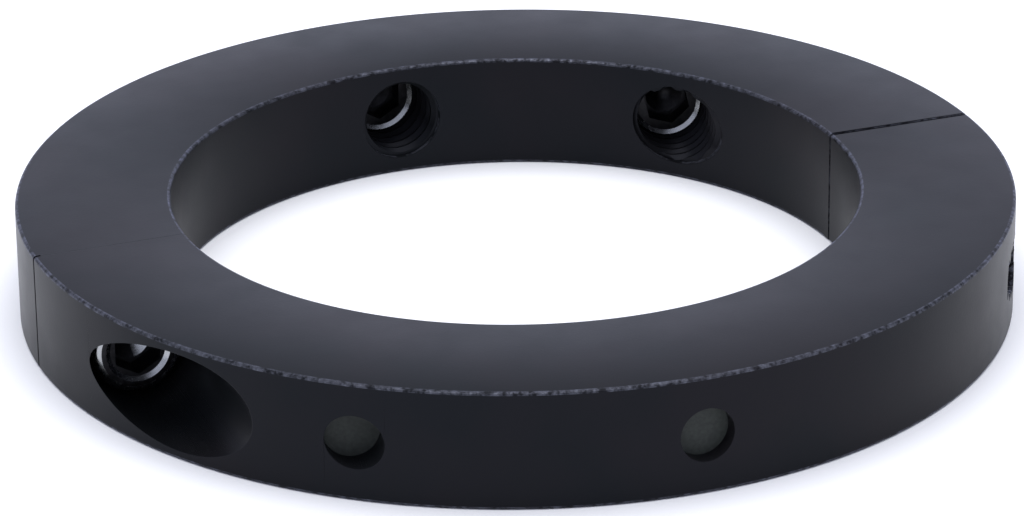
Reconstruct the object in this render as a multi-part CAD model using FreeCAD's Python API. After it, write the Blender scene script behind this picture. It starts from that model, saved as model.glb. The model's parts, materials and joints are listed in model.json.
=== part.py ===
"""Two-piece clamp ring: two half rings, two clamp screws, four magnets and the set screws behind them.

Millimetres. +Z is the ring's axis, z = 0 is the bottom face, +X runs along the split line and
+Y points from the front half to the rear half. The rear half is the front half turned half a
turn about Z, so everything is drawn once for one half and turned for the other.
"""
import FreeCAD
import Part
import math
import os

# Ring
outer_diameter = 106.68
bore_diameter = 73.66
thickness = 12.70
split_gap = 0.30
edge_chamfer = 0.35
split_edge_chamfer = 0.12

# Clamp screws, 1/4-20 socket head cap screws
clamp_thread_diameter = 6.35
clamp_screw_length = 19.05
clamp_head_diameter = 9.525
clamp_head_height = 6.35
clamp_head_chamfer = 0.90
clamp_hex_across_flats = 4.76
clamp_hex_depth = 3.20
clamp_tip_chamfer = 0.70
clamp_seat_from_split = 6.70
clamp_outward_shift = 1.10
counterbore_clearance = 0.5875
shank_clearance = 0.275

# Magnet holes, bored from inside the ring towards a thin web at the outside
middle_hole_angle = -90.0
middle_hole_slant = 0.0
middle_web = 1.75
middle_set_screw_length = 4.75
side_hole_angle = -128.0
side_hole_slant = 24.5
side_web = 3.00
side_set_screw_length = 6.35
magnet_diameter = 7.90
magnet_length = 2.50
magnet_chamfer = 0.30
window_lip = 1.10
thread_over_magnet = 0.525
set_screw_chamfer = 0.80
set_hex_across_flats = 4.76
set_hex_depth = 2.60

# Fits
thread_clearance = 0.05
magnet_clearance = 0.10
face_clearance = 0.05
thread_runout = 0.30

outer_radius = outer_diameter / 2
bore_radius = bore_diameter / 2
mid_height = thickness / 2
counterbore_diameter = clamp_head_diameter + 2 * counterbore_clearance
clearance_hole_diameter = clamp_thread_diameter + 2 * shank_clearance
window_diameter = magnet_diameter - 2 * window_lip
set_screw_diameter = magnet_diameter + 2 * thread_over_magnet
bolt_offset = (outer_radius + bore_radius) / 2 + clamp_outward_shift
past_the_ring = 2 * outer_diameter
z_axis = FreeCAD.Vector(0, 0, 1)


def rod(radius, start, direction, length):
    """A plain round bar from start, along direction."""
    return Part.makeCylinder(radius, length, start, direction)


def chamfered_rod(radius, length, first_chamfer, last_chamfer):
    """A bar on the Z axis, from z = 0 to z = length, with a 45 degree chamfer at each end."""
    outline = [
        FreeCAD.Vector(0, 0, 0),
        FreeCAD.Vector(radius - first_chamfer, 0, 0),
        FreeCAD.Vector(radius, 0, first_chamfer),
        FreeCAD.Vector(radius, 0, length - last_chamfer),
        FreeCAD.Vector(radius - last_chamfer, 0, length),
        FreeCAD.Vector(0, 0, length),
        FreeCAD.Vector(0, 0, 0),
    ]
    face = Part.Face(Part.makePolygon(outline))
    return face.revolve(FreeCAD.Vector(0, 0, 0), z_axis, 360)


def hex_socket(across_flats, depth, top):
    """The six-sided recess to cut down from z = top, with the cone left by its drill."""
    corner_radius = across_flats / math.sqrt(3)
    corners = []
    for index in range(7):
        turn = math.radians(60 * index)
        corner = FreeCAD.Vector(corner_radius * math.cos(turn), corner_radius * math.sin(turn), top - depth)
        corners.append(corner)
    prism = Part.Face(Part.makePolygon(corners)).extrude(FreeCAD.Vector(0, 0, 2 * depth))
    drill_cone = Part.makeCone(0, across_flats / 2, across_flats / 4)
    drill_cone.translate(FreeCAD.Vector(0, 0, top - depth - across_flats / 4))
    return prism.fuse(drill_cone)


def stand_on_axis(shape, start, direction):
    """Move a shape drawn on the Z axis so that its z = 0 is at start and +Z is along direction."""
    placed = shape.copy()
    placed.Placement = FreeCAD.Placement(start, FreeCAD.Rotation(z_axis, direction))
    return placed


def turned_to_rear(shape):
    """The same piece in the rear half."""
    turned = shape.copy()
    turned.rotate(FreeCAD.Vector(0, 0, 0), z_axis, 180)
    return turned


def magnet_hole(angle, slant, web, screw_length):
    """One magnet hole of the front half: its axis, its mouth on the outside, and its depths.

    angle is where the hole meets the outside, and slant is how far its axis leans from radial.
    Depths run inwards from the mouth: web, magnet, set screw, then an open pocket to the bore.
    """
    mouth_turn = math.radians(angle)
    mouth = FreeCAD.Vector(outer_radius * math.cos(mouth_turn), outer_radius * math.sin(mouth_turn), mid_height)
    inward_turn = math.radians(angle + 180 + slant)
    inward = FreeCAD.Vector(math.cos(inward_turn), math.sin(inward_turn), 0)
    magnet_start = web + face_clearance
    screw_start = magnet_start + magnet_length + face_clearance
    return {
        "mouth": mouth,
        "inward": inward,
        "web": web,
        "magnet_start": magnet_start,
        "screw_start": screw_start,
        "screw_length": screw_length,
    }


def magnet_holes():
    """Both magnet holes of the front half, by the name used for their pieces."""
    return {
        "middle": magnet_hole(middle_hole_angle, middle_hole_slant, middle_web, middle_set_screw_length),
        "side": magnet_hole(side_hole_angle, side_hole_slant, side_web, side_set_screw_length),
    }


def plain_half_ring():
    """Half of the ring, front side, with its edges broken and no holes."""
    low = edge_chamfer
    high = thickness - edge_chamfer
    section = [
        FreeCAD.Vector(bore_radius, 0, low),
        FreeCAD.Vector(bore_radius + edge_chamfer, 0, 0),
        FreeCAD.Vector(outer_radius - edge_chamfer, 0, 0),
        FreeCAD.Vector(outer_radius, 0, low),
        FreeCAD.Vector(outer_radius, 0, high),
        FreeCAD.Vector(outer_radius - edge_chamfer, 0, thickness),
        FreeCAD.Vector(bore_radius + edge_chamfer, 0, thickness),
        FreeCAD.Vector(bore_radius, 0, high),
        FreeCAD.Vector(bore_radius, 0, low),
    ]
    ring = Part.Face(Part.makePolygon(section)).revolve(FreeCAD.Vector(0, 0, 0), z_axis, 360)
    front_side = Part.makeBox(past_the_ring, past_the_ring, 3 * thickness,
                              FreeCAD.Vector(-past_the_ring / 2, -past_the_ring - split_gap / 2, -thickness))
    half = ring.common(front_side)
    split_edges = [edge for edge in half.Edges if is_on_split(edge)]
    return half.makeChamfer(split_edge_chamfer, split_edges)


def is_on_split(edge):
    """True for an edge that lies all in the front half's split plane."""
    return all(abs(vertex.Point.y + split_gap / 2) < 1e-6 for vertex in edge.Vertexes)


def counterbored_hole(side):
    """The hole of a clamp screw whose head is in the front half, at x = side * bolt_offset."""
    split_point = FreeCAD.Vector(side * bolt_offset, 0, mid_height)
    seat = FreeCAD.Vector(side * bolt_offset, -clamp_seat_from_split, mid_height)
    outwards = FreeCAD.Vector(0, -1, 0)
    clearance_hole = rod(clearance_hole_diameter / 2, split_point, outwards, clamp_seat_from_split)
    counterbore = rod(counterbore_diameter / 2, seat, outwards, past_the_ring)
    return clearance_hole.fuse(counterbore)


def tapped_hole(side):
    """The hole in the front half that the other clamp screw threads into, right through."""
    split_point = FreeCAD.Vector(side * bolt_offset, 0, mid_height)
    radius = clamp_thread_diameter / 2 + thread_clearance
    return rod(radius, split_point, FreeCAD.Vector(0, -1, 0), past_the_ring)


def cut_for_magnet(hole):
    """What one magnet hole removes: a window, the magnet's bore and the thread, from the mouth inwards."""
    to_the_bore = 2 * (outer_radius - bore_radius)
    window = rod(window_diameter / 2, hole["mouth"] - hole["inward"] * outer_radius, hole["inward"],
                 outer_radius + hole["web"] + face_clearance)
    magnet_face = hole["mouth"] + hole["inward"] * hole["web"]
    magnet_bore = rod(magnet_diameter / 2 + magnet_clearance, magnet_face, hole["inward"], to_the_bore)
    thread_end = hole["mouth"] + hole["inward"] * (hole["screw_start"] - thread_runout)
    thread = rod(set_screw_diameter / 2 + thread_clearance, thread_end, hole["inward"], to_the_bore)
    return window.fuse(magnet_bore).fuse(thread)


def half_ring():
    """The front half ring with all its holes."""
    body = plain_half_ring()
    body = body.cut(counterbored_hole(-1))
    body = body.cut(tapped_hole(1))
    for hole in magnet_holes().values():
        body = body.cut(cut_for_magnet(hole))
    return body


def clamp_screw():
    """The clamp screw with its head in the front half, at -X."""
    head = chamfered_rod(clamp_head_diameter / 2, clamp_head_height, face_clearance, clamp_head_chamfer)
    head = head.cut(hex_socket(clamp_hex_across_flats, clamp_hex_depth, clamp_head_height))
    shank = chamfered_rod(clamp_thread_diameter / 2, clamp_screw_length, clamp_tip_chamfer, 0)
    shank.translate(FreeCAD.Vector(0, 0, -clamp_screw_length))
    screw = head.fuse(shank).removeSplitter()
    under_head = FreeCAD.Vector(-bolt_offset, -clamp_seat_from_split - face_clearance, mid_height)
    return stand_on_axis(screw, under_head, FreeCAD.Vector(0, -1, 0))


def magnet(hole):
    """One disc magnet, against the web of its hole."""
    disc = chamfered_rod(magnet_diameter / 2, magnet_length, magnet_chamfer, magnet_chamfer)
    return stand_on_axis(disc, hole["mouth"] + hole["inward"] * hole["magnet_start"], hole["inward"])


def set_screw(hole):
    """One set screw, behind its magnet, with its hex socket towards the bore."""
    screw = chamfered_rod(set_screw_diameter / 2, hole["screw_length"], set_screw_chamfer, set_screw_chamfer)
    screw = screw.cut(hex_socket(set_hex_across_flats, set_hex_depth, hole["screw_length"]))
    return stand_on_axis(screw, hole["mouth"] + hole["inward"] * hole["screw_start"], hole["inward"])


def all_pieces():
    """Every piece of the assembly, by node name."""
    front_ring = half_ring()
    front_screw = clamp_screw()
    pieces = {
        "half_ring_front": front_ring,
        "half_ring_rear": turned_to_rear(front_ring),
        "clamp_screw_left": front_screw,
        "clamp_screw_right": turned_to_rear(front_screw),
    }
    for place, hole in magnet_holes().items():
        front_magnet = magnet(hole)
        front_set_screw = set_screw(hole)
        pieces["magnet_front_" + place] = front_magnet
        pieces["magnet_rear_" + place] = turned_to_rear(front_magnet)
        pieces["set_screw_front_" + place] = front_set_screw
        pieces["set_screw_rear_" + place] = turned_to_rear(front_set_screw)
    return pieces


def main():
    """Write one STEP file for each piece and print its volume and box."""
    os.makedirs("parts", exist_ok=True)
    for node, shape in all_pieces().items():
        box = shape.BoundBox
        print(f"{node:24s} solids {len(shape.Solids)} valid {shape.isValid()} volume {shape.Volume:9.2f}"
              f"  x {box.XMin:7.2f} {box.XMax:7.2f}  y {box.YMin:7.2f} {box.YMax:7.2f}"
              f"  z {box.ZMin:6.2f} {box.ZMax:6.2f}")
        shape.exportStep(f"parts/{node}.step")


main()
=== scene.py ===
# %% [markdown]
# # A two-piece clamp ring, dressed around its CAD frame
#
# The real thing is a flat ring, split across the middle into two halves that two socket head
# screws pull together round a shaft. Each half also carries two small magnets, which are pushed
# in from the bore against a thin wall and held there by set screws.
#
# The CAD model already fixes every size and place. Blender adds what CAD leaves out: real screw
# threads, broken edges, knurling, and surfaces that look like anodised aluminium and blackened
# steel. So the first step is to load the CAD frame, and the main sizes and places are read from it.

# %% Load the CAD frame
import bmesh
import bpy
import json
import math
from mathutils import Matrix, Vector


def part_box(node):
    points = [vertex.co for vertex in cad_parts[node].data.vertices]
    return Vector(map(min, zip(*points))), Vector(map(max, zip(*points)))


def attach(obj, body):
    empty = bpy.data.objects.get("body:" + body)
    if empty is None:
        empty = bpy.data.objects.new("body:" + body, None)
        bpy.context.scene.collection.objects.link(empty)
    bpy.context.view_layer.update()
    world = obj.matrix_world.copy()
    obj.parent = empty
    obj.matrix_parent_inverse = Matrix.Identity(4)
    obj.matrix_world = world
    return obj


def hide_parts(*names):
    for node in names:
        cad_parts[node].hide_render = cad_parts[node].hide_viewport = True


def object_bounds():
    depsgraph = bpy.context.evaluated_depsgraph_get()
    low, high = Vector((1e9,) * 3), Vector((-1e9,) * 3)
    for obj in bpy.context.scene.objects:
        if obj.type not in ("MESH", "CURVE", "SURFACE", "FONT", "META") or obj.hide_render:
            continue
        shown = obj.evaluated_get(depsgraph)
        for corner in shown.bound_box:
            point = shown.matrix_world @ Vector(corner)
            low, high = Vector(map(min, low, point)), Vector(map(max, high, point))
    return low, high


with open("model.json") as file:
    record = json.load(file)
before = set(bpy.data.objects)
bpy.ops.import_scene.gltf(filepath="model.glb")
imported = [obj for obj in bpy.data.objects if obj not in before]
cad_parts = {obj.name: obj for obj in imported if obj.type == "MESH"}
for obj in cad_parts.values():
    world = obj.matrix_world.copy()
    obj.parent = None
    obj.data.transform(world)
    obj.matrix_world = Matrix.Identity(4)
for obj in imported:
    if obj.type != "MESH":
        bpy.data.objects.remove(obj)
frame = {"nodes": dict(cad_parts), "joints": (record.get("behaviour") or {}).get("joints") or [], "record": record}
cad_low, cad_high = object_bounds()
mm = 0.001
record = frame["record"]
joints = {joint["name"]: joint for joint in frame["joints"]}
print("CAD box in mm:", [round(c / mm, 2) for c in (*cad_low, *cad_high)])

# %% [markdown]
# ## The ring's main sizes
#
# The bore's radius is stated as a mount in the CAD record, and the other sizes are the corners
# of boxes round the CAD pieces. Only the width of the broken edges along the rims is written out
# here, because no box shows it. It is the same as the CAD model's chamfer.

# %% Read the sizes
outer_radius = cad_high.y
thickness = cad_high.z
mid_height = thickness / 2
bore_radius = next(m["dims"]["r_mm"] for m in record["mounts"] if m["name"] == "shaft_bore") * mm
split_face = -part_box("half_ring_front")[1].y
edge_break = 0.35 * mm
print("outer radius", outer_radius, "bore radius", bore_radius, "split face", split_face)

# %% [markdown]
# ## Camera
#
# A long lens far away keeps the ring's ellipse almost free of perspective, as in a catalogue
# picture. The camera is placed by its direction and distance from the ring's middle, in the
# same way as one would set a tripod, and then rolled by a little over half a degree.

# %% Place the camera
camera_azimuth = math.radians(-20.5)
camera_elevation = math.radians(23.093)
camera_distance = 9.892 * outer_radius
aim_right = -0.0082 * outer_radius
aim_up = -0.0451 * outer_radius
camera_roll = math.radians(-0.618)
camera_lens = 172.6

round_the_ring = Matrix.Rotation(camera_azimuth, 3, "Z")
ring_centre = Vector((0, 0, mid_height))
back_off = Vector((0, -math.cos(camera_elevation), math.sin(camera_elevation))) * camera_distance
eye = ring_centre + round_the_ring @ back_off
aim = ring_centre + round_the_ring @ Vector((aim_right, 0, aim_up))
forward = (aim - eye).normalized()
level_right = forward.cross(Vector((0, 0, 1))).normalized()
level_up = level_right.cross(forward)
right = math.cos(camera_roll) * level_right + math.sin(camera_roll) * level_up
up = math.cos(camera_roll) * level_up - math.sin(camera_roll) * level_right

camera_data = bpy.data.cameras.new("catalogue_camera")
camera_data.lens = camera_lens
camera = bpy.data.objects.new("catalogue_camera", camera_data)
bpy.context.scene.collection.objects.link(camera)
camera.matrix_world = Matrix.Translation(eye) @ Matrix((right, up, -forward)).transposed().to_4x4()
bpy.context.scene.camera = camera
print("camera stands", round(camera_distance, 3), "m from the ring")

# %% [markdown]
# ## Colours and nodes
#
# A colour is easiest to note down as a hex code, as in a paint chart, but a render works in
# linear light. One function turns one into the other. A second small function adds a shader
# node, sets its values and links its inputs, so that each material below reads like a recipe.

# %% Colour and node helpers
def colour(hex_code):
    """The linear RGBA colour of an sRGB hex code such as "1c1c22"."""
    channels = []
    for start in (0, 2, 4):
        value = int(hex_code[start:start + 2], 16) / 255
        channels.append(value / 12.92 if value <= 0.04045 else ((value + 0.055) / 1.055) ** 2.4)
    return (*channels, 1.0)


def add_node(material, kind, settings=None, inputs=None):
    """Add one node. settings are its own properties, and inputs are values or sockets to link."""
    tree = material.node_tree
    node = tree.nodes.new(kind)
    for name, value in (settings or {}).items():
        setattr(node, name, value)
    for name, value in (inputs or {}).items():
        if isinstance(value, bpy.types.NodeSocket):
            tree.links.new(value, node.inputs[name])
        else:
            node.inputs[name].default_value = value
    return node


def new_material(name):
    """An empty node material, and the object's own coordinates."""
    material = bpy.data.materials.new(name)
    material.use_nodes = True
    material.node_tree.nodes.clear()
    place = add_node(material, "ShaderNodeTexCoord").outputs["Object"]
    return material, place


def finish_material(material, surface):
    """Link the finished shader to the material's output."""
    add_node(material, "ShaderNodeOutputMaterial", inputs={"Surface": surface.outputs["BSDF"]})
    print("made material", material.name, "with", len(material.node_tree.nodes), "nodes")
    return material


# %% [markdown]
# ## Floor and light
#
# The ring lies on a pale, matt table under soft light from everywhere. A bright sky-like world
# does most of the work. One large softbox overhead lifts the table to clean white, and a weaker,
# slightly violet one behind the ring is mirrored in its top face. A dark, smooth object shows its
# shape mainly by what it mirrors, so the even white room is what draws the light edges at the
# ring's far left and right.

# %% Make the floor and the lights
bpy.context.scene.view_settings.view_transform = "Standard"

floor_size = 8.0
bpy.ops.object.select_all(action="DESELECT")
bpy.ops.mesh.primitive_plane_add(size=floor_size, location=(0, 0, cad_low.z))
floor = bpy.context.object
floor.name = "pale_table"
table_paint, place = new_material("matt white table paint")
table_grain = add_node(table_paint, "ShaderNodeTexNoise", inputs={"Vector": place, "Scale": 1 / (3 * mm)})
table_bump = add_node(table_paint, "ShaderNodeBump", inputs={
    "Height": table_grain.outputs["Fac"], "Strength": 0.2, "Distance": 0.02 * mm})
table_surface = add_node(table_paint, "ShaderNodeBsdfPrincipled", inputs={
    "Base Color": colour("f2f2f2"), "Roughness": 0.8, "Normal": table_bump.outputs["Normal"]})
floor.data.materials.append(finish_material(table_paint, table_surface))

world = bpy.data.worlds.new("white_room")
bpy.context.scene.world = world
world.use_nodes = True
world.node_tree.nodes["Background"].inputs["Color"].default_value = colour("e0e5fb")
world.node_tree.nodes["Background"].inputs["Strength"].default_value = 0.88


def softbox(name, place, width, height, power, tone="ffffff"):
    """A rectangular area light that faces the ring's middle."""
    light_data = bpy.data.lights.new(name, "AREA")
    light_data.color = colour(tone)[:3]
    light_data.shape = "RECTANGLE"
    light_data.size = width
    light_data.size_y = height
    light_data.energy = power
    light = bpy.data.objects.new(name, light_data)
    light.location = place
    light.rotation_euler = (ring_centre - Vector(place)).to_track_quat("-Z", "Y").to_euler()
    bpy.context.scene.collection.objects.link(light)
    print("hung", name, "of", power, "W")


overhead = (0, 0, 1.2)
softbox("overhead_softbox", overhead, width=1.2, height=1.2, power=16)
behind = round_the_ring @ Vector((0, 0.75, 0.30))
softbox("back_softbox", behind, width=1.3, height=0.5, power=1.1, tone="e2e6ff")

# %% [markdown]
# ## Black anodised aluminium
#
# The half rings are machined, tumbled in fine media, and then anodised and dyed black. The oxide
# is a clear, hard, slightly porous skin over dark dye, so the eye sees a satin black with only a
# weak mirror image, which grows strong at a flat glancing angle. The dye is never quite even, and
# leans to violet here and to blue-green there. Where an edge was knocked, the skin is rubbed thin
# and grey metal glints through, which is a second finish for the narrow edge faces alone.

# %% Anodised aluminium
def anodised_aluminium(name, bare_share):
    """Satin black anodising. bare_share says how readily bare metal shows through, and 0 is never."""
    material, place = new_material(name)
    # The dye's clouds make the black lean softly to violet or to blue-green.
    tint_cloud = add_node(material, "ShaderNodeTexNoise", inputs={
        "Vector": place, "Scale": 1 / (17 * mm), "Detail": 2.0})
    tint = add_node(material, "ShaderNodeValToRGB", inputs={"Fac": tint_cloud.outputs["Fac"]})
    tint.color_ramp.elements[0].position = 0.38
    tint.color_ramp.elements[0].color = colour("121416")
    tint.color_ramp.elements[1].position = 0.62
    tint.color_ramp.elements[1].color = colour("171618")
    # Tumbling leaves a grain of some hundredths of a millimetre. It is drawn coarser, at 0.3 mm,
    # because the finer one would vanish at this distance. It breaks up the mirror image.
    grit = add_node(material, "ShaderNodeTexNoise", inputs={
        "Vector": place, "Scale": 1 / (0.3 * mm), "Detail": 3.0})
    haze = add_node(material, "ShaderNodeTexNoise", inputs={
        "Vector": place, "Scale": 1 / (6 * mm), "Detail": 4.0, "Roughness": 0.6})
    roughness = add_node(material, "ShaderNodeMapRange", inputs={
        "Value": haze.outputs["Fac"], "From Min": 0.3, "From Max": 0.7, "To Min": 0.31, "To Max": 0.37})
    grain = add_node(material, "ShaderNodeBump", inputs={
        "Height": grit.outputs["Fac"], "Strength": 0.25, "Distance": 0.02 * mm})
    surface = add_node(material, "ShaderNodeBsdfPrincipled", inputs={
        "Base Color": tint.outputs["Color"], "Roughness": roughness.outputs["Result"],
        "Specular IOR Level": 0.10, "Specular Tint": colour("e4e7fb"), "Normal": grain.outputs["Normal"]})
    # Knocks along an edge let grey metal glint through in short dashes.
    if bare_share > 0:
        knocks = add_node(material, "ShaderNodeTexNoise", inputs={
            "Vector": place, "Scale": 1 / (0.7 * mm), "Detail": 5.0, "Roughness": 0.65})
        rubbed = add_node(material, "ShaderNodeMapRange", inputs={
            "Value": knocks.outputs["Fac"], "From Min": 0.75 - bare_share, "From Max": 1.15 - bare_share})
        # A Mix node has an A and a B of every data type, so its colour sockets go by number.
        colour_a, colour_b, mixed_colour = 6, 7, 2
        skin = add_node(material, "ShaderNodeMix", {"data_type": "RGBA"}, {
            "Factor": rubbed.outputs["Result"], colour_a: tint.outputs["Color"],
            colour_b: colour("666872")})
        tree = material.node_tree
        tree.links.new(skin.outputs[mixed_colour], surface.inputs["Base Color"])
        tree.links.new(rubbed.outputs["Result"], surface.inputs["Metallic"])
    return finish_material(material, surface)


ring_skin = anodised_aluminium("black anodised aluminium, tumbled", 0)
ring_edge = anodised_aluminium("black anodised aluminium, edges rubbed thin", 0.35)

# %% [markdown]
# ## Blackened steel
#
# Socket head and set screws are alloy steel with a black oxide skin, which is still metal to the
# eye: a dark, smeared mirror. The second finish is bright steel, as where a key or a cutting tool
# has taken the oxide off, and it is also a painted highlight: it is given to the screws' rims and
# to one side of a drill point so that they glint. Both are one recipe with two pairs of colours
# and roughnesses.

# %% Black oxide steel
def black_steel(name, dark, light, rough_low, rough_high):
    """Steel under black oxide, or bright steel that also serves as a painted highlight, from two colours and two
    roughnesses.
    """
    material, place = new_material(name)
    # Smears of oil and wear change the tone and the gloss together, so glints come and go.
    smears = add_node(material, "ShaderNodeTexNoise", inputs={
        "Vector": place, "Scale": 1 / (0.8 * mm), "Detail": 4.0, "Roughness": 0.65})
    tone = add_node(material, "ShaderNodeValToRGB", inputs={"Fac": smears.outputs["Fac"]})
    tone.color_ramp.elements[0].position = 0.35
    tone.color_ramp.elements[0].color = colour(dark)
    tone.color_ramp.elements[1].position = 0.7
    tone.color_ramp.elements[1].color = colour(light)
    roughness = add_node(material, "ShaderNodeMapRange", inputs={
        "Value": smears.outputs["Fac"], "From Min": 0.3, "From Max": 0.7,
        "To Min": rough_low, "To Max": rough_high})
    surface = add_node(material, "ShaderNodeBsdfPrincipled", inputs={
        "Base Color": tone.outputs["Color"], "Roughness": roughness.outputs["Result"], "Metallic": 1.0})
    return finish_material(material, surface)


screw_skin = black_steel("alloy steel, black oxide", "29292b", "3c3c3e", 0.35, 0.5)
# Bright steel: rubbed-off oxide, and also a painted highlight on the faces that are given it below.
screw_wear_and_glint = black_steel("alloy steel, oxide rubbed off", "9b9d9e", "b4b6b7", 0.22, 0.30)

# %% [markdown]
# ## Coated magnet
#
# The magnets show only as dull, slightly greenish grey discs. They are pressed and sintered
# powder under a matte coat, so they are grainy and have hardly any shine.

# %% Coated magnet
def coated_magnet(name):
    """Matte coated sintered magnet."""
    material, place = new_material(name)
    # Pressed powder is drawn at 0.4 mm, coarser than its real grain, to show as a faint mottle.
    grains = add_node(material, "ShaderNodeTexNoise", inputs={
        "Vector": place, "Scale": 1 / (0.4 * mm), "Detail": 4.0})
    tone = add_node(material, "ShaderNodeValToRGB", inputs={"Fac": grains.outputs["Fac"]})
    tone.color_ramp.elements[0].color = colour("222523")
    tone.color_ramp.elements[1].color = colour("3f433f")
    bump = add_node(material, "ShaderNodeBump", inputs={
        "Height": grains.outputs["Fac"], "Strength": 0.4, "Distance": 0.03 * mm})
    surface = add_node(material, "ShaderNodeBsdfPrincipled", inputs={
        "Base Color": tone.outputs["Color"], "Roughness": 0.7, "Specular IOR Level": 0.3,
        "Normal": bump.outputs["Normal"]})
    return finish_material(material, surface)


magnet_skin = coated_magnet("sintered magnet, matte coat")

# %% [markdown]
# ## Helpers for modelling
#
# Everything here is a lathe part or a drilled part, so a few small moves serve for all of it:
# draw an outline point by point and spin it round, sweep a tooth outline into a thread, and
# cut or join solids. Pieces are drawn upright on the Z axis and then laid on their own axis.
# The Boolean's MANIFOLD solver is used because it is quick and always leaves a closed solid.

# %% Modelling helpers
whole_turn = 2 * math.pi
hair = 1e-7
near_wall = 0.02 * mm
thread_steps = 48


def take(piece):
    """Select one object alone and make it the active one."""
    bpy.ops.object.select_all(action="DESELECT")
    piece.select_set(True)
    bpy.context.view_layer.objects.active = piece


def draw_outline(name, outline):
    """A chain of edges in the XZ plane: one vertex, extruded from point to point of (x, z)."""
    bpy.ops.object.select_all(action="DESELECT")
    bpy.ops.mesh.primitive_plane_add(size=mm, location=(0, 0, 0))
    piece = bpy.context.object
    piece.name = name
    bpy.ops.object.mode_set(mode="EDIT")
    bpy.ops.mesh.select_mode(type="VERT")
    bpy.ops.mesh.select_all(action="SELECT")
    bpy.ops.mesh.merge(type="CENTER")
    bpy.ops.transform.translate(value=(outline[0][0], 0, outline[0][1]))
    for (x, z), (next_x, next_z) in zip(outline, outline[1:]):
        bpy.ops.mesh.extrude_region_move(TRANSFORM_OT_translate={"value": (next_x - x, 0, next_z - z)})
    bpy.ops.mesh.select_all(action="SELECT")
    return piece


def close_up():
    """Merge what lies on itself, point every face outwards, and leave edit mode."""
    bpy.ops.mesh.select_all(action="SELECT")
    bpy.ops.mesh.remove_doubles(threshold=hair)
    bpy.ops.mesh.normals_make_consistent(inside=False)
    bpy.ops.object.mode_set(mode="OBJECT")


def turned(name, outline, steps=96):
    """A round solid on the Z axis, spun from an outline of (radius, height) like work in a lathe."""
    piece = draw_outline(name, outline)
    bpy.ops.mesh.spin(steps=steps, angle=whole_turn, center=(0, 0, 0), axis=(0, 0, 1))
    close_up()
    return piece


def threaded_bar(name, root_radius, crest_radius, crest_flat, root_flat, pitch, low, high):
    """A bar on the Z axis with a right-hand thread, cut off square at both ends.

    The flats are shares of the pitch. Every bar's helix passes the same point at z = 0, so that
    a screw and its hole drawn on one axis fit each other.
    """
    first_turn = math.floor(low / pitch) - 1
    turns = math.ceil(high / pitch) + 1 - first_turn
    foot = first_turn * pitch
    half_root = root_flat * pitch / 2
    half_crest = crest_flat * pitch / 2
    piece = draw_outline(name, [
        (root_radius, foot),
        (root_radius, foot + half_root),
        (crest_radius, foot + pitch / 2 - half_crest),
        (crest_radius, foot + pitch / 2 + half_crest),
        (root_radius, foot + pitch - half_root),
        (root_radius, foot + pitch)])
    bpy.ops.object.mode_set(mode="OBJECT")
    take(piece)
    bpy.ops.object.modifier_add(type="SCREW")
    sweep = piece.modifiers[-1]
    sweep.screw_offset = pitch
    sweep.iterations = turns
    sweep.steps = thread_steps
    sweep.render_steps = thread_steps
    bpy.ops.object.modifier_apply(modifier=sweep.name)
    bpy.ops.object.mode_set(mode="EDIT")
    bpy.ops.mesh.select_all(action="SELECT")
    bpy.ops.mesh.remove_doubles(threshold=hair)
    for height, outwards in ((low, -1), (high, 1)):
        bpy.ops.mesh.select_all(action="SELECT")
        bpy.ops.mesh.bisect(plane_co=(0, 0, height), plane_no=(0, 0, outwards), use_fill=True,
                            clear_outer=True, threshold=hair)
    close_up()
    return piece


def combine(piece, tool, operation="DIFFERENCE"):
    """Cut piece with tool, or keep their INTERSECT or UNION. The tool is used up."""
    take(piece)
    bpy.ops.object.modifier_add(type="BOOLEAN")
    boolean = piece.modifiers[-1]
    boolean.operation = operation
    boolean.solver = "MANIFOLD"
    boolean.object = tool
    bpy.ops.object.modifier_apply(modifier=boolean.name)
    bpy.data.objects.remove(tool, do_unlink=True)


def stand_on_axis(piece, start, direction):
    """Move a piece drawn on the Z axis so that its z = 0 is at start and +Z is along direction."""
    take(piece)
    piece.rotation_mode = "QUATERNION"
    piece.rotation_quaternion = Vector((0, 0, 1)).rotation_difference(direction)
    piece.location = start
    bpy.ops.object.transform_apply(location=True, rotation=True, scale=True)
    return piece


def copied_half_turn(piece, name):
    """A copy with its own mesh, turned half a turn about the ring's axis."""
    take(piece)
    bpy.ops.object.duplicate()
    copy = bpy.context.object
    copy.name = name
    copy.rotation_mode = "XYZ"
    copy.rotation_euler = (0, 0, math.pi)
    bpy.ops.object.transform_apply(location=True, rotation=True, scale=True)
    return copy


def give_slots(piece, *materials):
    """Give a piece its materials, in order."""
    piece.data.materials.clear()
    for material in materials:
        piece.data.materials.append(material)


def give_faces(piece, slot, wanted):
    """Give the faces for which wanted(centre, normal) is true the material in that slot."""
    take(piece)
    bpy.ops.object.mode_set(mode="EDIT")
    bpy.ops.mesh.select_mode(type="FACE")
    bpy.ops.mesh.select_all(action="DESELECT")
    mesh = bmesh.from_edit_mesh(piece.data)
    for face in mesh.faces:
        face.select_set(wanted(face.calc_center_median(), face.normal))
    bmesh.update_edit_mesh(piece.data)
    piece.active_material_index = slot
    bpy.ops.object.material_slot_assign()
    bpy.ops.mesh.select_mode(type="VERT")
    bpy.ops.object.mode_set(mode="OBJECT")


def smooth(piece, angle=30):
    """Shade round surfaces as curves, and keep corners sharper than the angle."""
    take(piece)
    bpy.ops.object.shade_smooth_by_angle(angle=math.radians(angle))


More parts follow.
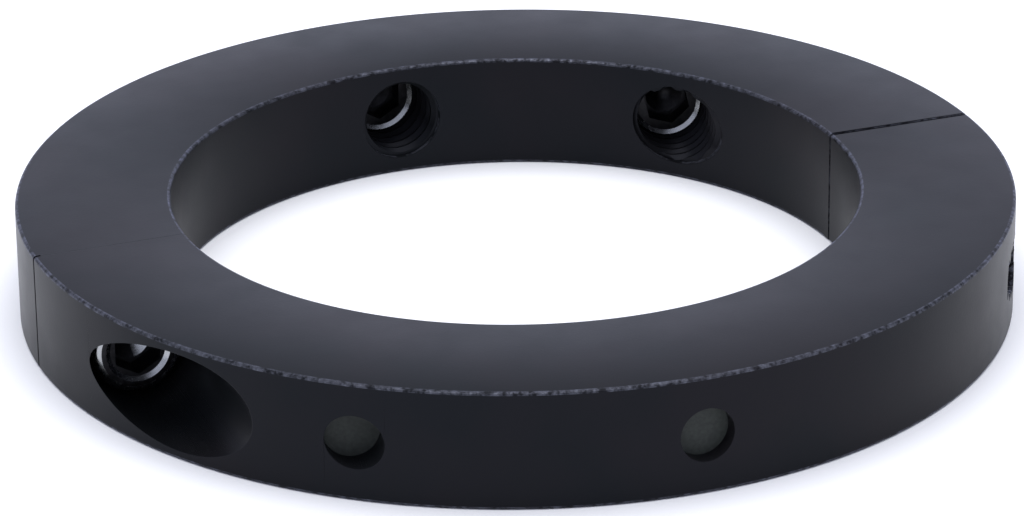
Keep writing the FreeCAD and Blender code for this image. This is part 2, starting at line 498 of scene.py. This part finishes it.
def true_round(piece, start, direction, radius):
    """Give a round wall its cylinder's exact normals, so that its narrow strips shade as one curve."""
    nearly_square = 0.9995
    mesh = piece.data
    normals = [corner.vector.copy() for corner in mesh.corner_normals]
    for face in mesh.polygons:
        for corner in face.loop_indices:
            spot = mesh.vertices[mesh.loops[corner].vertex_index].co - start
            outwards = spot - direction * spot.dot(direction)
            facing = outwards.normalized().dot(face.normal)
            if abs(outwards.length - radius) < near_wall and abs(facing) > nearly_square:
                normals[corner] = outwards.normalized() * math.copysign(1, facing)
    mesh.normals_split_custom_set(normals)


def describe(piece):
    """Print how many faces a piece has, and whether it is closed."""
    mesh = bmesh.new()
    mesh.from_mesh(piece.data)
    open_edges = sum(not edge.is_manifold for edge in mesh.edges)
    print(f"{piece.name}: {len(mesh.faces)} faces, {open_edges} open edges, "
          f"{mesh.calc_volume(signed=True) / mm ** 3:.1f} mm3")
    mesh.free()


# %% [markdown]
# ## Where the screws lie
#
# Every screw has a joint in the CAD record, and the joint holds a point on the screw's axis and
# its direction. A screw's pitch is how far it moves in one whole turn, which follows from the
# coupling between its turn and its slide. Its two ends are measured along the axis on the CAD
# piece itself.

# %% Screw axes, spans and thread pitches
def pitch_of(screw_joint):
    """How far a screw moves in one turn. The coupling holds how far it turns for each metre."""
    coupling = next(c for c in record["behaviour"]["couplings"] if c["joint"] == screw_joint)
    return whole_turn / abs(coupling["ratio"])


def axis_of(screw_joint):
    """A point on a screw's axis, and the direction in which it backs out."""
    joint = joints[screw_joint]
    return Vector(joint["pos_m"]), Vector(joint["axis"])


def span_along(node, start, direction):
    """Where a CAD node begins and ends along an axis, measured from start."""
    depths = [(vertex.co - start).dot(direction) for vertex in frame["nodes"][node].data.vertices]
    return min(depths), max(depths)


def radius_of(node):
    """The radius of a CAD node whose axis lies level."""
    low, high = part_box(node)
    return (high.z - low.z) / 2


clamp_start, clamp_out = axis_of("left_clamp_screw_turn")
clamp_tip, head_top = span_along("clamp_screw_left", clamp_start, clamp_out)
clamp_pitch = pitch_of("left_clamp_screw_turn")
set_pitch = pitch_of("front_middle_set_screw_turn")
head_radius = radius_of("clamp_screw_left")
set_radius = radius_of("set_screw_front_middle")
magnet_radius = radius_of("magnet_front_middle")
print("clamp screw from", clamp_tip, "to", head_top, "pitch", clamp_pitch)
print("set screw radius", set_radius, "pitch", set_pitch, "magnet radius", magnet_radius)

# %% [markdown]
# ## Plain half ring
#
# A half ring is sawn from a turned ring. Here its section is a rectangle with the corners
# rounded off, spun a little more than half a turn, and then sliced flat where it meets the other
# half. Many narrow steps are used, because a dark satin ring mirrors the room and would show
# each facet. The left joint is drawn almost closed, as the two halves touch there, and the right
# one is opened to its full width later.

# %% Plain half ring
wall = outer_radius - bore_radius
spin_steps = 728
overshoot = math.radians(2)
split_break = 0.20 * mm
mouth_break = 0.06 * mm
tight_face = 0.015 * mm
tight_break = 0.12 * mm
running_fit = 0.05 * mm

bpy.ops.object.select_all(action="DESELECT")
bpy.ops.mesh.primitive_plane_add(size=1, location=(bore_radius + wall / 2, 0, mid_height),
                                 rotation=(math.pi / 2, 0, 0))
front_ring = bpy.context.object
front_ring.name = "front_half_ring"
front_ring.scale = (wall, thickness, 1)
bpy.ops.object.transform_apply(location=True, rotation=True, scale=True)
bpy.ops.object.mode_set(mode="EDIT")
bpy.ops.mesh.select_all(action="SELECT")
bpy.ops.mesh.bevel(offset=edge_break, segments=3, affect="VERTICES")
bpy.ops.mesh.select_all(action="SELECT")
bpy.ops.transform.rotate(value=-overshoot, orient_axis="Z", center_override=(0, 0, 0))
bpy.ops.mesh.spin(steps=spin_steps, angle=math.pi + 2 * overshoot, center=(0, 0, 0), axis=(0, 0, 1))
bpy.ops.mesh.select_all(action="SELECT")
bpy.ops.mesh.bisect(plane_co=(0, -tight_face, 0), plane_no=(0, 1, 0), use_fill=True,
                    clear_outer=True, threshold=hair)
close_up()
describe(front_ring)


# %% [markdown]
# ## Clamp screw holes
#
# Each half takes one screw head and one screw end. The head sits in a counterbore, milled
# straight in from the outside, which cuts the round wall in a long oval. The other hole is
# drilled and then tapped right through. A tap is only a screw used as a cutter, so the thread is
# cut here with a threaded bar a little bigger than the screw.

# %% Cut the clamp screw holes
drum_steps = 360
counterbore_steps = 512
seat_break = 0.25 * mm
hole_crest_flat = 0.2
hole_root_flat = 0.12


def drum(name, radius):
    """A solid drum on the ring's axis, taller than the ring."""
    outline = [(0, -thickness), (radius, -thickness), (radius, 2 * thickness), (0, 2 * thickness)]
    return turned(name, outline, drum_steps)


# A cap screw's head is as tall as its thread is wide, and one and a half times as wide as it is tall.
head_height = head_radius * 4 / 3
thread_radius = head_height / 2
seat = head_top - head_height - running_fit
past = outer_radius
counterbore_radius = 5.35 * mm
shank_hole_radius = 3.45 * mm
tap_drill_radius = 2.62 * mm
tapped_radius = thread_radius + running_fit

head_hole = turned("head_hole", [
    (0, -2 * mm), (shank_hole_radius, -2 * mm), (shank_hole_radius, seat - seat_break),
    (shank_hole_radius + seat_break, seat), (counterbore_radius, seat), (counterbore_radius, past),
    (0, past)], counterbore_steps)
combine(front_ring, stand_on_axis(head_hole, clamp_start, clamp_out))

far_side = Vector((-clamp_start.x, 0, clamp_start.z))
far_in = -clamp_out
tap_drill = turned("tap_drill", [
    (0, -past), (tap_drill_radius, -past), (tap_drill_radius, -1.1 * mm),
    (tap_drill_radius + 0.9 * mm, -0.2 * mm), (tap_drill_radius + 0.9 * mm, 2 * mm), (0, 2 * mm)])
combine(front_ring, stand_on_axis(tap_drill, far_side, far_in))
tap = threaded_bar("tap", tap_drill_radius - 0.07 * mm, tapped_radius, hole_crest_flat, hole_root_flat,
                   clamp_pitch, -past, 2 * mm)
combine(front_ring, stand_on_axis(tap, far_side, far_in))
describe(front_ring)

# %% [markdown]
# ## Magnet holes
#
# These are drilled from inside the ring and stop short of the outside, where a smaller window
# leaves a lip that the magnet rests against. The hole is tapped for the set screw as far as the
# magnet. Where the thread runs out at the bore, its first half millimetre is opened up plain, as
# a countersink does on the real part.

# %% Cut the magnet holes
magnet_hole_steps = 192
window_radius = 2.85 * mm
tapping_radius = magnet_radius + 0.1 * mm
groove_radius = set_radius + running_fit
mouth_depth = 0.5 * mm


def cut_magnet_hole(place):
    """The window, the magnet's bore and the thread of one magnet hole in the front half."""
    start, inwards = axis_of("front_" + place + "_set_screw_turn")
    magnet_span = span_along("magnet_front_" + place, start, inwards)
    screw_span = span_along("set_screw_front_" + place, start, inwards)
    web = magnet_span[0] - running_fit
    to_bore = 2 * wall
    drill = turned("drill", [
        (0, -past / 4), (window_radius, -past / 4), (window_radius, web), (tapping_radius, web),
        (tapping_radius, to_bore), (0, to_bore)], magnet_hole_steps)
    combine(front_ring, stand_on_axis(drill, start, inwards))
    thread_from = screw_span[0] - 0.3 * mm
    tap = threaded_bar("tap", tapping_radius - 0.08 * mm, groove_radius, hole_crest_flat,
                       hole_root_flat, set_pitch, thread_from, to_bore)
    combine(front_ring, stand_on_axis(tap, start, inwards))
    relief_radius = groove_radius + 0.05 * mm
    relief = turned("relief", [
        (0, 0), (relief_radius, 0), (relief_radius, to_bore), (0, to_bore)], magnet_hole_steps)
    stand_on_axis(relief, start, inwards)
    combine(relief, drum("near_bore", bore_radius + mouth_depth), "INTERSECT")
    combine(front_ring, relief)


for place in ("middle", "side"):
    cut_magnet_hole(place)
describe(front_ring)


# %% [markdown]
# ## Broken edges and the two halves
#
# Nothing machined is left razor sharp, and it is the narrow bevels that catch light. The rims
# along the outside and the bore get the rubbed finish, and so do the bevels of the open joint.
# The rear half is the front half turned half a turn, copied before the open joint is cut, because
# the wide gap is on the right of both halves. At the left only the outermost part of the joint is
# open, and shows as a line down the outside wall.

# %% Break the sharp edges
sharp_corner = math.radians(30)
same_plane = 0.001 * mm
left_opening = 0.8 * mm


def bevel_edges(piece, width, slot, wanted):
    """Round off the sharp edges for which wanted(end, other_end) is true, in two narrow steps."""
    take(piece)
    bpy.ops.object.mode_set(mode="EDIT")
    bpy.ops.mesh.select_mode(type="EDGE")
    bpy.ops.mesh.select_all(action="DESELECT")
    mesh = bmesh.from_edit_mesh(piece.data)
    chosen = 0
    for edge in mesh.edges:
        sharp = edge.is_manifold and edge.calc_face_angle() > sharp_corner
        if sharp and wanted(*(vertex.co for vertex in edge.verts)):
            edge.select_set(True)
            chosen += 1
    bmesh.update_edit_mesh(piece.data)
    bpy.ops.mesh.bevel(offset=width, segments=2, affect="EDGES", material=slot, clamp_overlap=False)
    bpy.ops.mesh.select_mode(type="VERT")
    bpy.ops.object.mode_set(mode="OBJECT")
    print("bevelled", chosen, "edges")


def in_split(*ends):
    """True for an edge lying in one of the joint faces."""
    return any(all(abs(abs(end.y) - face) < same_plane for end in ends) for face in (tight_face, split_face))


def at_radius(radius, ends):
    """True for the mouth of a hole in the outside wall or in the bore wall."""
    near = all(abs(math.hypot(end.x, end.y) - radius) < near_wall for end in ends)
    clear_of_faces = all(1.5 * edge_break < end.z < thickness - 1.5 * edge_break for end in ends)
    return near and clear_of_faces and not in_split(*ends)


give_slots(front_ring, ring_skin, ring_edge)
give_faces(front_ring, 1, lambda centre, normal: 0.1 < abs(normal.z) < 0.99 and (
    math.hypot(centre.x, centre.y) > outer_radius - edge_break
    or math.hypot(centre.x, centre.y) < bore_radius + edge_break))
bevel_edges(front_ring, mouth_break, 0,
            lambda *ends: at_radius(outer_radius, ends) or at_radius(bore_radius, ends))
rear_ring = copied_half_turn(front_ring, "rear_half_ring")


def open_joint(piece, from_x, to_x):
    """Trim a half's joint faces back to the full width of the split, between two places along X."""
    bpy.ops.object.select_all(action="DESELECT")
    bpy.ops.mesh.primitive_cube_add(size=1, location=((from_x + to_x) / 2, 0, mid_height))
    saw = bpy.context.object
    saw.scale = (to_x - from_x, 2 * split_face, 2 * thickness)
    bpy.ops.object.transform_apply(location=True, rotation=True, scale=True)
    combine(piece, saw)


def outside_left(*ends):
    """True for the upright edges of the left joint on the outside wall."""
    upright = abs(ends[0].z - ends[1].z) > 1 * mm
    return upright and in_split(*ends) and ends[0].x < -outer_radius + 0.1 * mm


upwards = Vector((0, 0, 1))
for half, piece, head_side in (("front", front_ring, -1), ("rear", rear_ring, 1)):
    open_joint(piece, 0, 2 * outer_radius)
    open_joint(piece, -2 * outer_radius, -outer_radius + left_opening)
    bevel_edges(piece, split_break, 1, lambda *ends: in_split(*ends) and ends[0].x > 0)
    bevel_edges(piece, tight_break, 0, outside_left)
    smooth(piece, 25)
    true_round(piece, Vector((0, 0, 0)), upwards, outer_radius)
    true_round(piece, Vector((0, 0, 0)), upwards, bore_radius)
    pocket_centre = Vector((head_side * abs(clamp_start.x), 0, mid_height))
    true_round(piece, pocket_centre, Vector((0, 1, 0)), counterbore_radius)
    describe(piece)
    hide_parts("half_ring_" + half)
    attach(piece, half + "_half")

# %% [markdown]
# ## Hex socket
#
# A socket is drilled first and then punched to six sides, which leaves the drill's shallow cone
# at the bottom. It starts as a six-sided prism with slightly rounded corners, because a punch is
# never perfectly sharp, and a lathe-turned drill point is joined below it.

# %% Hex socket
hex_key = 4.76 * mm
punch_corner = 0.12 * mm
drill_point_steps = 64


def hex_socket(name, depth, top):
    """The six-sided recess that the hex key fits, with rounded corners and a drill cone below."""
    bpy.ops.object.select_all(action="DESELECT")
    bpy.ops.mesh.primitive_cylinder_add(vertices=6, radius=hex_key / math.sqrt(3), depth=depth + 2 * mm,
                                        location=(0, 0, top - depth / 2 + 1 * mm))
    socket = bpy.context.object
    socket.name = name
    bpy.ops.object.transform_apply(location=True, rotation=True, scale=True)
    bpy.ops.object.mode_set(mode="EDIT")
    bpy.ops.mesh.select_mode(type="EDGE")
    mesh = bmesh.from_edit_mesh(socket.data)
    for edge in mesh.edges:
        edge.select_set(abs(edge.verts[0].co.z - edge.verts[1].co.z) > depth)
    bpy.ops.mesh.bevel(offset=punch_corner, segments=2, affect="EDGES")
    close_up()
    floor_height = top - depth
    drill_point = turned("drill_point", [
        (0, floor_height - 1.25 * mm), (1.0 * mm, floor_height - 0.65 * mm), (2.1 * mm, floor_height),
        (2.1 * mm, floor_height + 0.5 * mm), (0, floor_height + 0.5 * mm)], drill_point_steps)
    combine(socket, drill_point, "UNION")
    return socket


# %% [markdown]
# ## Clamp screw
#
# A socket head cap screw has a knurled head with a rounded outer edge, and a small lead-in round
# the socket. The knurl is made on the turned blank by pulling every second line of points a
# little inwards. The shank is a turned bar with chamfered ends, kept only where a threaded bar
# also is. The lead-in and the head's edge get the bright steel, partly as rubbed-off oxide and
# partly as a painted highlight, and one side of the drill point gets it only as a painted glint.
# They are the only bright marks in the dark pocket.

# %% Clamp screw
knurl_teeth = 48
knurl_depth = 0.13 * mm
clamp_socket_depth = 3.2 * mm
lead_out = 3.42 * mm
lead_in = 2.95 * mm
lip_fall = 0.30 * mm
head_round = 0.84 * mm
neck_radius = thread_radius - 0.45 * mm
screw_crest_flat = 0.10
screw_root_flat = 0.22

under_head = seat + running_fit
head_blank = turned("head", [
    (0, under_head), (head_radius - 0.30 * mm, under_head), (head_radius, under_head + 0.30 * mm),
    (head_radius, under_head + 0.55 * mm), (head_radius - 0.005 * mm, under_head + 0.80 * mm),
    (head_radius - 0.005 * mm, head_top - 1.35 * mm), (head_radius, head_top - 1.10 * mm),
    (head_radius, head_top - 0.85 * mm), (head_radius - 0.14 * mm, head_top - 0.42 * mm),
    (head_radius - 0.44 * mm, head_top - 0.12 * mm), (head_radius - head_round, head_top),
    (lead_out, head_top), (lead_in, head_top - lip_fall),
    (0, head_top - lip_fall - 0.05 * mm)], 2 * knurl_teeth)
bpy.ops.object.mode_set(mode="EDIT")
bpy.ops.mesh.select_mode(type="VERT")
bpy.ops.mesh.select_all(action="DESELECT")
mesh = bmesh.from_edit_mesh(head_blank.data)
for vertex in mesh.verts:
    step = round(math.atan2(vertex.co.y, vertex.co.x) / (math.pi / knurl_teeth))
    in_band = under_head + 0.7 * mm < vertex.co.z < head_top - 1.2 * mm
    vertex.select_set(step % 2 == 1 and in_band)
valley = 1 - knurl_depth / head_radius
bpy.ops.transform.resize(value=(valley, valley, 1), center_override=(0, 0, 0))
bpy.ops.object.mode_set(mode="OBJECT")
combine(head_blank, hex_socket("socket", clamp_socket_depth, head_top))

clamp_screw = turned("clamp_screw_left_detail", [
    (0, clamp_tip), (thread_radius - 0.75 * mm, clamp_tip), (thread_radius, clamp_tip + 0.75 * mm),
    (thread_radius, under_head - 0.7 * mm), (neck_radius, under_head - 0.5 * mm),
    (neck_radius, under_head + 0.3 * mm), (0, under_head + 0.3 * mm)])
clamp_thread = threaded_bar("clamp_thread", thread_radius - 0.67 * mm, thread_radius + 0.04 * mm,
                            screw_crest_flat, screw_root_flat, clamp_pitch,
                            clamp_tip - 1 * mm, under_head - 0.3 * mm)
plain_neck = turned("neck", [
    (0, under_head - 0.65 * mm), (neck_radius, under_head - 0.65 * mm),
    (neck_radius, under_head + 0.3 * mm), (0, under_head + 0.3 * mm)])
combine(clamp_screw, clamp_thread, "INTERSECT")
combine(clamp_screw, plain_neck, "UNION")
combine(clamp_screw, head_blank, "UNION")
describe(clamp_screw)
give_slots(clamp_screw, screw_skin, screw_wear_and_glint)


def on_bright_face(centre, normal):
    """True on the lead-in and the head's outer edge, bright as wear and as a painted highlight, and on one side of
    the drill point, a painted glint.
    """
    radius = math.hypot(centre.x, centre.y)
    lead = lead_in < radius < lead_out and centre.z > head_top - 1.3 * lip_fall
    outer_edge = radius > head_radius - head_round and centre.z > head_top - 0.7 * mm
    on_drill_point = 1.1 * mm < radius < 2 * mm and head_top - 5 * mm < centre.z < head_top - 3.1 * mm
    # Painted glint: only one side of the drill point gets the bright steel.
    painted_glint_side = on_drill_point and abs(math.atan2(centre.y, centre.x) + math.radians(45)) < math.radians(32)
    return normal.z > 0.3 and (lead or outer_edge or painted_glint_side)


give_faces(clamp_screw, 1, on_bright_face)
stand_on_axis(clamp_screw, clamp_start, clamp_out)
smooth(clamp_screw)
other_clamp_screw = copied_half_turn(clamp_screw, "clamp_screw_right_detail")
for side, piece in (("left", clamp_screw), ("right", other_clamp_screw)):
    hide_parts("clamp_screw_" + side)
    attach(piece, side + "_clamp_screw")


# %% [markdown]
# ## Magnets and set screws
#
# Each hole holds a disc magnet with rounded edges and, behind it, a set screw. The set screw is
# a threaded plug with a chamfer at both ends, and its socket end is dished, with a bright steel rim
# that is partly wear from facing in the lathe and partly a painted highlight. Both are drawn on
# their hole's axis in the front half, and copied half a turn round for the rear half.

# %% Magnets and set screws
set_socket_depth = 2.6 * mm
lip_out = 3.88 * mm
lip_in = 3.44 * mm
coat_round = 0.30 * mm
coat_middle = 0.09 * mm


def make_magnet(place):
    """A disc magnet with rounded edges, drawn on its hole's axis."""
    start, inwards = axis_of("front_" + place + "_set_screw_turn")
    low, high = span_along("magnet_front_" + place, start, inwards)
    magnet = turned("magnet_front_" + place + "_detail", [
        (0, low + 0.02 * mm), (magnet_radius - 1.1 * mm, low), (magnet_radius - coat_round, low),
        (magnet_radius - coat_middle, low + coat_middle), (magnet_radius, low + coat_round),
        (magnet_radius, high - coat_round), (magnet_radius - coat_middle, high - coat_middle),
        (magnet_radius - coat_round, high), (0, high)])
    give_slots(magnet, magnet_skin)
    stand_on_axis(magnet, start, inwards)
    smooth(magnet, 40)
    return magnet


def make_set_screw(place):
    """A threaded plug with a dished, hex-socketed end towards the bore."""
    start, inwards = axis_of("front_" + place + "_set_screw_turn")
    low, high = span_along("set_screw_front_" + place, start, inwards)
    screw = turned("set_screw_front_" + place + "_detail", [
        (0, low), (set_radius - 0.8 * mm, low), (set_radius, low + 0.8 * mm),
        (set_radius, high - 0.62 * mm), (set_radius - 0.50 * mm, high - 0.02 * mm), (lip_out, high),
        (lip_in, high - lip_fall), (0, high - lip_fall - 0.05 * mm)])
    thread = threaded_bar("thread", tapping_radius - 0.2 * mm, set_radius + 0.04 * mm,
                          screw_crest_flat, screw_root_flat, set_pitch, low - 1 * mm, high + 1 * mm)
    combine(screw, thread, "INTERSECT")
    combine(screw, hex_socket("socket", set_socket_depth, high))
    describe(screw)
    give_slots(screw, screw_skin, screw_wear_and_glint)
    # The dished rim gets the bright steel: wear and a painted highlight.
    give_faces(screw, 1, lambda centre, normal: normal.z > 0.3 and centre.z > high - 1.3 * lip_fall
               and lip_in < math.hypot(centre.x, centre.y) < lip_out + 0.05 * mm)
    stand_on_axis(screw, start, inwards)
    smooth(screw)
    return screw


for place in ("middle", "side"):
    for kind, slot, make in (("magnet", "magnet", make_magnet), ("set_screw", "screw", make_set_screw)):
        front_piece = make(place)
        rear_piece = copied_half_turn(front_piece, front_piece.name.replace("front", "rear"))
        for half, piece in (("front", front_piece), ("rear", rear_piece)):
            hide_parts(f"{kind}_{half}_{place}")
            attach(piece, f"{half}_{place}_{kind}")
